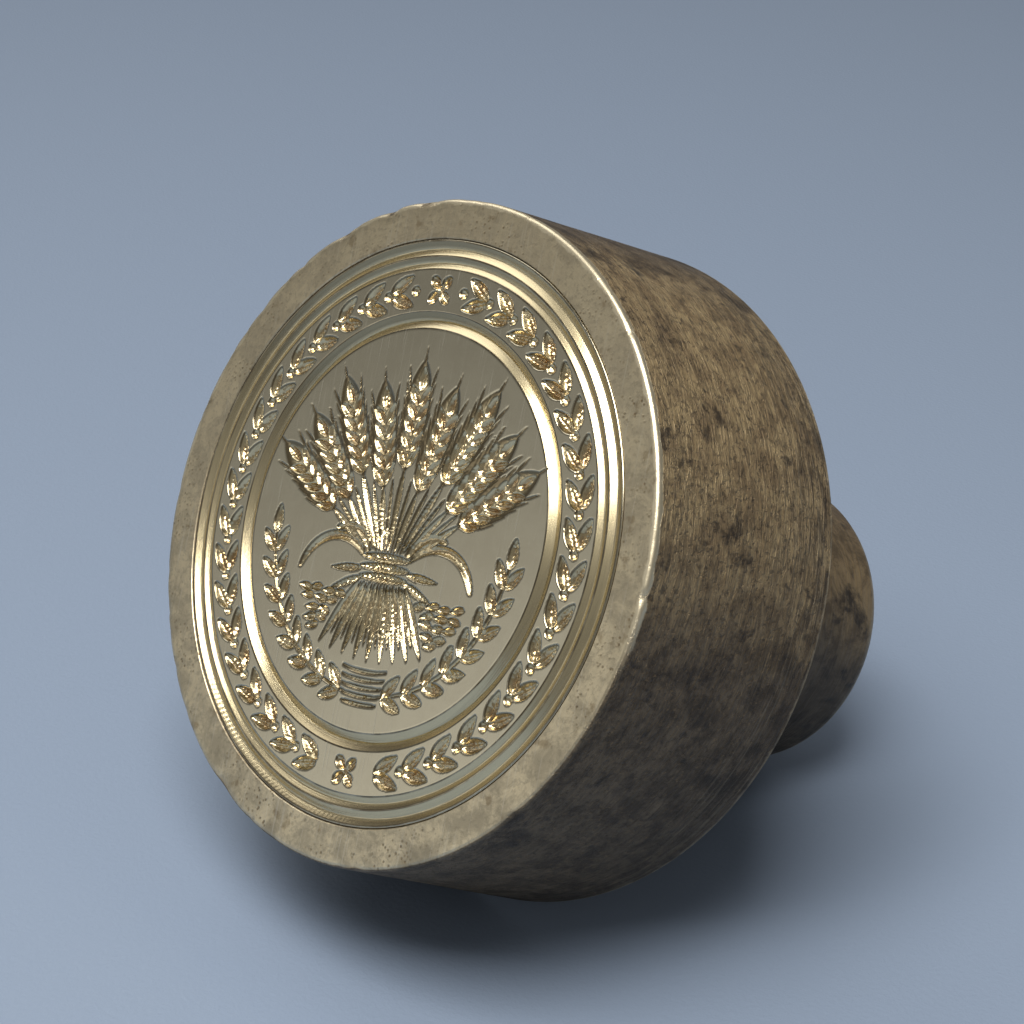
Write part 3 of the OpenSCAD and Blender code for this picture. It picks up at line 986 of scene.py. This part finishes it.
def knock_edge(points):
    """Moves a worn front edge inwards at its knocks, and lets the side wander slightly."""
    r = np.hypot(points[:, 0], points[:, 1])
    angle = np.arctan2(points[:, 1], points[:, 0])
    push = np.zeros(len(points))
    for at, depth, half_width in all_knocks():
        off = (angle - math.radians(at) + math.pi) % (2 * math.pi) - math.pi
        push += depth * np.exp(-((off * DRUM_R / half_width) ** 2))
    from_edge = np.hypot(DRUM_R - r, FACE_Z - points[:, 2])
    push *= np.clip(1 - from_edge / KNOCK_REACH, 0, 1) ** 1.5
    points[:, 2] -= KNOCK_SHARE * push
    outer = np.clip((r - SEAT_R) / (DRUM_R - SEAT_R), 0, 1)
    ripple = np.sin(5 * angle + 0.35 * points[:, 2]) * np.sin(3 * angle - 0.21 * points[:, 2])
    inwards = KNOCK_SHARE * push + SIDE_WANDER * outer**4 * (0.5 + 0.5 * ripple)
    points[:, :2] *= (1 - inwards / np.maximum(r, 1))[:, None]


def side_r(z):
    """Radius of the drum's flared side."""
    return DRUM_R + DRUM_FLARE * (FACE_Z - z) / (FACE_Z - DRUM_Z)


BACK_CORNER = (side_r(DRUM_Z + BACK_CHAMFER), DRUM_Z + BACK_CHAMFER)


def make_drum():
    front_z = FACE_Z - FRONT_ROUND
    front_r = DRUM_R - FRONT_ROUND
    back_r = DRUM_BACK_R - BACK_CHAMFER
    socket_r = SHANK_R + PRESS_GAP
    mesh = spun("drum_body", [
        (back_r, DRUM_Z, 2), (*BACK_CORNER, 34), *fillet((front_r, front_z), FRONT_ROUND, 0, 90, 6),
        (front_r, FACE_Z, 8), (SEAT_R + SEAT_CHAMFER, FACE_Z), (SEAT_R, FACE_Z - SEAT_CHAMFER, 4),
        (SEAT_R, SEAT_Z, 6), (BOLT_HOLE_R, SEAT_Z, 2), (BOLT_HOLE_R, SOCKET_Z, 2),
        (socket_r, SOCKET_Z, 2), (socket_r, DRUM_Z, 6),
    ], DRUM_STEPS, loop=True)
    points = coordinates(mesh)
    knock_edge(points)
    move_vertices(mesh, points)
    add_piece(mesh, drum_patina, "holder", ["drum"])


def finish_die(mesh, points, on_face):
    """Carves the design into the face, keeps its depths as shares of FULL_CUT, and adds the piece."""
    depth, cuts = np.zeros(len(points)), np.zeros(len(points))
    depth[on_face], cuts[on_face] = engrave(points[on_face, 0], points[on_face, 1])
    points[:, 2] -= depth
    move_vertices(mesh, points)
    for name, values in (("carved", depth), ("graver", cuts)):
        attribute = mesh.attributes.new(name, "FLOAT", "POINT")
        attribute.data.foreach_set("value", np.clip(values / FULL_CUT, 0, 1))
    add_piece(mesh, die_steel, "die", ["seal_die"], sharp=70)


def make_die_border():
    """The die's ring of grooves and wreath, with its side, its back and the tapped hole."""
    tapped_r = BOLT_R + SLIDE_GAP
    face_r = DIE_R - DIE_CHAMFER
    face_rows = 66
    mesh = spun("die_border", [
        (0, TAPPED_Z), (tapped_r, TAPPED_Z), (tapped_r, SEAT_Z), (DIE_R / 2, SEAT_Z, 2), (face_r, SEAT_Z),
        (DIE_R, SEAT_Z + DIE_CHAMFER), (DIE_R, FACE_Z - DIE_CHAMFER), (face_r, FACE_Z, face_rows),
        (FIELD_SPLIT_R, FACE_Z), (FIELD_SPLIT_R, FIELD_FLOOR_Z), (0, FIELD_FLOOR_Z),
    ], DIE_STEPS, loop=False)
    points = coordinates(mesh)
    r = np.hypot(points[:, 0], points[:, 1])
    finish_die(mesh, points, (points[:, 2] > FACE_Z - NEAR) & (r > FIELD_SPLIT_R - NEAR))


def to_disc(points):
    """Moves the points of a square of half side 1 onto the field's disc, ring by ring."""
    x, y = points[:, 0].copy(), points[:, 1].copy()
    size = np.maximum(np.abs(x), np.abs(y))
    safe = np.maximum(size, 1e-9)
    wide = np.abs(x) >= np.abs(y)
    turn = np.where(wide, y / safe * np.sign(x), x / safe * np.sign(y)) * math.pi / 4
    near, far = size * np.cos(turn), size * np.sin(turn)
    points[:, 0] = np.where(wide, near * np.sign(x), far * np.sign(y)) * FIELD_SPLIT_R
    points[:, 1] = np.where(wide, far * np.sign(x), near * np.sign(y)) * FIELD_SPLIT_R


def make_die_field():
    """The engraved disc in the middle of the die."""
    bm = bmesh.new()
    bmesh.ops.create_grid(bm, x_segments=FIELD_CELLS, y_segments=FIELD_CELLS, size=1)
    rim = [e for e in bm.edges if e.is_boundary]
    skirt = bmesh.ops.extrude_edge_only(bm, edges=rim)["geom"]
    skirt_verts = [v for v in skirt if isinstance(v, bmesh.types.BMVert)]
    bmesh.ops.translate(bm, verts=skirt_verts, vec=(0, 0, -1))
    bmesh.ops.holes_fill(bm, edges=[e for e in bm.edges if e.is_boundary], sides=0)
    mesh = closed_mesh(bm, "die_field")
    points = coordinates(mesh)
    on_face = points[:, 2] > -0.5
    to_disc(points)
    points[:, 2] = np.where(on_face, FACE_Z, FIELD_FLOOR_Z)
    finish_die(mesh, points, on_face)


def make_shank():
    low = shank_low.z
    end_r = SHANK_R - SHANK_ROUND
    round_z = low + SHANK_ROUND
    mouth_r = COUNTERBORE_R + COUNTERBORE_CHAMFER
    mouth_z = low + COUNTERBORE_CHAMFER
    neck_r = SHANK_R - UNDERCUT_DEPTH
    neck_z = DRUM_Z - UNDERCUT_W
    mesh = spun("shank_body", [
        (COUNTERBORE_R, COUNTERBORE_Z, 3), (COUNTERBORE_R, mouth_z, 2), (mouth_r, low, 4),
        *fillet((end_r, round_z), SHANK_ROUND, -90, 0, 10), (SHANK_R, round_z, 16), (SHANK_R, neck_z),
        (neck_r, neck_z), (neck_r, DRUM_Z), (SHANK_R, DRUM_Z), (SHANK_R, SOCKET_Z, 3),
        (BOLT_HOLE_R, SOCKET_Z, 3), (BOLT_HOLE_R, COUNTERBORE_Z, 2),
    ], SHANK_STEPS, loop=True)
    add_piece(mesh, shank_patina, "holder", ["shank"])


# The draw bolt's edges, thread and slot
HEAD_ROUND = 0.5
HEAD_CHAMFER = 0.15
NECK_CHAMFER = 0.2
NECK_LEN = 1.0
TIP_LEN = 0.6
TIP_STEP = 0.05
TIP_CHAMFER = 0.7
THREAD_PITCH = 1.0
THREAD_DEPTH = 0.5
THREAD_LEN = 14.0
THREAD_ROWS = 140
FLANK_GAIN = 1.3
FLANK_FLAT = 0.15
SLOT_W = 1.6
SLOT_DEPTH = 1.8


def cut_thread(points):
    """Sinks a right-hand thread into the upper end of the bolt's shaft."""
    r = np.hypot(points[:, 0], points[:, 1])
    z = points[:, 2]
    start = bolt_high.z - THREAD_LEN
    turns = z / THREAD_PITCH - np.arctan2(points[:, 1], points[:, 0]) / (2 * math.pi)
    flank = 2 * np.abs(turns % 1 - 0.5)
    fade = np.clip((z - start) / THREAD_PITCH, 0, 1)
    cut = np.clip(flank * FLANK_GAIN - FLANK_FLAT, 0, 1) * THREAD_DEPTH * fade * (r > 0.6 * BOLT_R)
    shrink = 1 - cut / np.maximum(r, 1)
    points[:, :2] *= shrink[:, None]


def slotted(mesh, low):
    """Cuts a screwdriver slot across the bolt's head."""
    bm = bmesh.new()
    bmesh.ops.create_cube(bm, size=1)
    bmesh.ops.scale(bm, vec=(4 * HEAD_R, SLOT_W, 2 * SLOT_DEPTH), verts=bm.verts)
    bmesh.ops.translate(bm, vec=(0, 0, low), verts=bm.verts)
    cutter = add_object("slot_cutter", closed_mesh(bm, "slot_cutter"))
    blank = add_object("bolt_blank", mesh)
    cut = blank.modifiers.new("slot", "BOOLEAN")
    cut.operation = "DIFFERENCE"
    cut.solver = "EXACT"
    cut.object = cutter
    bpy.context.view_layer.update()
    done = bpy.data.meshes.new_from_object(blank.evaluated_get(bpy.context.evaluated_depsgraph_get()))
    done.name = "draw_bolt_body"
    for made in (cutter, blank):
        bpy.data.objects.remove(made)
    return done


def make_bolt():
    low, high = bolt_low.z, bolt_high.z
    under_head = low + HEAD_H
    round_r = HEAD_R - HEAD_ROUND
    thread_z = high - THREAD_LEN
    tip_z = high - TIP_LEN
    last_row_z = tip_z - (tip_z - thread_z) / THREAD_ROWS
    mesh = spun("bolt_blank", [
        (0, low), (BOLT_R / 2, low, 3), *fillet((round_r, low + HEAD_ROUND), HEAD_ROUND, -90, 0, 5),
        (HEAD_R, low + HEAD_ROUND), (HEAD_R, under_head - HEAD_CHAMFER), (HEAD_R - HEAD_CHAMFER, under_head),
        (BOLT_R + NECK_CHAMFER, under_head), (BOLT_R, under_head + NECK_CHAMFER),
        (BOLT_R, under_head + NECK_LEN, 4), (BOLT_R, thread_z, THREAD_ROWS - 1), (BOLT_R, last_row_z),
        (BOLT_R - TIP_STEP, tip_z), (BOLT_R - TIP_CHAMFER, high), (0, high),
    ], SMALL_STEPS, loop=False)
    points = coordinates(mesh)
    cut_thread(points)
    move_vertices(mesh, points)
    add_piece(slotted(mesh, low), bolt_steel, "bolt", ["draw_bolt"])


WASHER_EDGE = 0.2


def washer_section(outer, low, high):
    """A washer's section, with its edges broken."""
    inner = BOLT_R + SLIDE_GAP
    e = WASHER_EDGE
    return [
        (inner, low + e), (inner + e, low), (outer - e, low), (outer, low + e),
        (outer, high - e), (outer - e, high), (inner + e, high), (inner, high - e),
    ]


def make_plain_washer():
    section = washer_section(plain_high.x, plain_low.z, plain_high.z)
    mesh = spun("plain_washer_body", section, SMALL_STEPS, loop=True)
    add_piece(mesh, washer_steel, "washers", ["plain_washer"], sharp=30)


LOCK_GAP_TURN = math.radians(10)


def make_lock_washer():
    """A ring with a gap, closed at both ends of the split."""
    section = washer_section(-lock_low.x, lock_low.z, lock_high.z)
    bm = bmesh.new()
    verts = [bm.verts.new((r, 0, z)) for r, z in section]
    bmesh.ops.rotate(bm, cent=(0, 0, 0), matrix=Matrix.Rotation(LOCK_GAP_TURN / 2, 3, "Z"), verts=verts)
    face = bm.faces.new(verts)
    bmesh.ops.spin(
        bm, geom=[face], cent=(0, 0, 0), axis=(0, 0, 1), angle=2 * math.pi - LOCK_GAP_TURN,
        steps=SMALL_STEPS,
    )
    bmesh.ops.holes_fill(bm, edges=[e for e in bm.edges if e.is_boundary], sides=0)
    mesh = closed_mesh(bm, "lock_washer_body")
    add_piece(mesh, spring_steel, "washers", ["lock_washer"], sharp=30)


def make_register_pin():
    low, high = register_low, register_high
    radius = high.x
    nose_r, nose_z = radius - PIN_NOSE, high.z - PIN_NOSE
    mesh = spun("register_pin_body", [
        (0, low.z), (radius - PIN_CHAMFER, low.z), (radius, low.z + PIN_CHAMFER),
        (radius, (low.z + high.z) / 2, 2), *fillet((nose_r, nose_z), PIN_NOSE, 0, 90, 6),
        (nose_r, high.z), (0, high.z),
    ], SMALL_STEPS, loop=False)
    mesh.transform(Matrix.Translation((0, (low.y + high.y) / 2, 0)))
    add_piece(mesh, pin_steel, "holder", ["register_pin"], sharp=30)


make_drum()
make_die_border()
make_die_field()
make_shank()
make_bolt()
make_plain_washer()
make_lock_washer()
make_register_pin()
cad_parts["drive_pins"].data.materials.clear()
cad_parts["drive_pins"].data.materials.append(pin_steel)


# The seal lies as photographed: on the drum's back edge and the shank's end, upright turned by 15 degrees
UP_TURN = math.radians(75)


def resting_lean():
    """Angle between axis and floor, when the drum's back edge and the shank's end touch the floor."""
    across = BACK_CORNER[0] - (SHANK_R - SHANK_ROUND)
    along = BACK_CORNER[1] - SHANK_ROUND
    return math.acos(SHANK_ROUND / math.hypot(across, along)) - math.atan2(along, across)


LEAN = resting_lean()
FLOOR_UP = Vector((
    math.cos(LEAN) * math.cos(UP_TURN), math.cos(LEAN) * math.sin(UP_TURN), math.sin(LEAN),
))
FLOOR_DROP = (BACK_CORNER[0] * math.cos(LEAN) - BACK_CORNER[1] * math.sin(LEAN)) * MM
FLOOR_RADIUS = 1.2
FLOOR_COLOUR = (0.265, 0.335, 0.455, 1)


def make_floor():
    """A pale card, seen only from above so that it hides nothing from other sides."""
    bm = bmesh.new()
    bmesh.ops.create_circle(bm, cap_ends=True, radius=FLOOR_RADIUS, segments=96)
    mesh = bpy.data.meshes.new("floor")
    bm.to_mesh(mesh)
    bm.free()
    floor = add_object("floor", mesh)
    floor.rotation_mode = "QUATERNION"
    floor.rotation_quaternion = Vector((0, 0, 1)).rotation_difference(FLOOR_UP)
    floor.location = -FLOOR_UP * FLOOR_DROP
    material, shader, coords = new_material("pale_card")
    tree = material.node_tree
    feed(shader, {"Base Color": FLOOR_COLOUR, "Roughness": 0.8})
    bump(shader, noise(coords, 2200.0, detail=3.0), 0.05 * MM)
    clear = node(tree, "ShaderNodeBsdfTransparent")
    behind = node(tree, "ShaderNodeNewGeometry").outputs["Backfacing"]
    mixed = node(tree, "ShaderNodeMixShader", {0: behind, 1: shader.outputs[0], 2: clear.outputs[0]})
    tree.links.new(mixed.outputs[0], tree.nodes["Material Output"].inputs["Surface"])
    mesh.materials.append(material)


# Camera, as measured from the photograph: place seen from the face's centre, view direction and upright
CAMERA_FROM_FACE = Vector((138.9, -8.4, 135.4))
CAMERA_AT = (CAMERA_FROM_FACE + Vector((0, 0, FACE_Z))) * MM
CAMERA_LOOK = Vector((-0.6836, 0.0587, -0.7276))
CAMERA_UP = Vector((-0.102, 0.9794, 0.1748))
PICTURE_PX = 1024
FOCAL_PX = 2600
SENSOR_MM = 36.0


def aimed(look, up):
    """Rotation of a camera or lamp that looks one way with the given upright."""
    right = look.cross(up).normalized()
    upright = right.cross(look).normalized()
    return Matrix((right, upright, -look.normalized())).transposed().to_4x4()


def make_camera():
    data = bpy.data.cameras.new("camera")
    data.sensor_width = SENSOR_MM
    data.lens = SENSOR_MM * FOCAL_PX / PICTURE_PX
    data.clip_start = 0.01
    camera = add_object("camera", data)
    camera.matrix_world = Matrix.Translation(CAMERA_AT) @ aimed(CAMERA_LOOK, CAMERA_UP)
    bpy.context.scene.camera = camera


def add_lamp(name, direction, distance, size, power, colour):
    data = bpy.data.lights.new(name, "AREA")
    data.shape = "RECTANGLE"
    data.size, data.size_y = size
    data.energy = power
    data.color = colour
    way = Vector(direction).normalized()
    add_object(name, data).matrix_world = Matrix.Translation(way * distance) @ aimed(-way, CAMERA_UP)


# The room is brightest round one direction: degrees from there, and grey level
ROOM_BRIGHT = Vector((-0.62, -0.2, 0.76)).normalized()
ROOM_LEVELS = [(0, 0.95), (10, 0.84), (15, 0.47), (20, 0.28), (28, 0.21), (60, 0.19), (180, 0.19)]
ROOM_TINT = (1.0, 0.99, 0.96)


def make_world():
    """A soft room with a broad bright side."""
    world = bpy.data.worlds.new("room")
    world.use_nodes = True
    tree = world.node_tree
    way = tree.nodes.new("ShaderNodeTexCoord").outputs["Generated"]
    facing = node(tree, "ShaderNodeVectorMath", {0: way, 1: ROOM_BRIGHT}, operation="DOT_PRODUCT")
    angle = maths("ARCCOSINE", facing.outputs["Value"])
    ramp = node(tree, "ShaderNodeValToRGB", {"Fac": maths("DIVIDE", angle, math.pi)})
    steps = ramp.color_ramp.elements
    while len(steps) < len(ROOM_LEVELS):
        steps.new(0.5)
    for step, (degrees, level) in zip(steps, ROOM_LEVELS):
        step.position = degrees / 180
        step.color = [level * part for part in ROOM_TINT] + [1]
    tree.links.new(ramp.outputs["Color"], tree.nodes["Background"].inputs["Color"])
    bpy.context.scene.world = world


make_floor()
make_camera()
add_lamp(
    "window", direction=(0.3, 0.55, 0.8), distance=0.5, size=(0.32, 0.26), power=2.4,
    colour=(1.0, 0.97, 0.92),
)
add_lamp(
    "overhead panel", direction=(-0.48, 0.81, 0.33), distance=0.6, size=(0.35, 0.35), power=0.6,
    colour=(1.0, 0.98, 0.95),
)
make_world()
bpy.context.scene.view_settings.view_transform = "Standard"
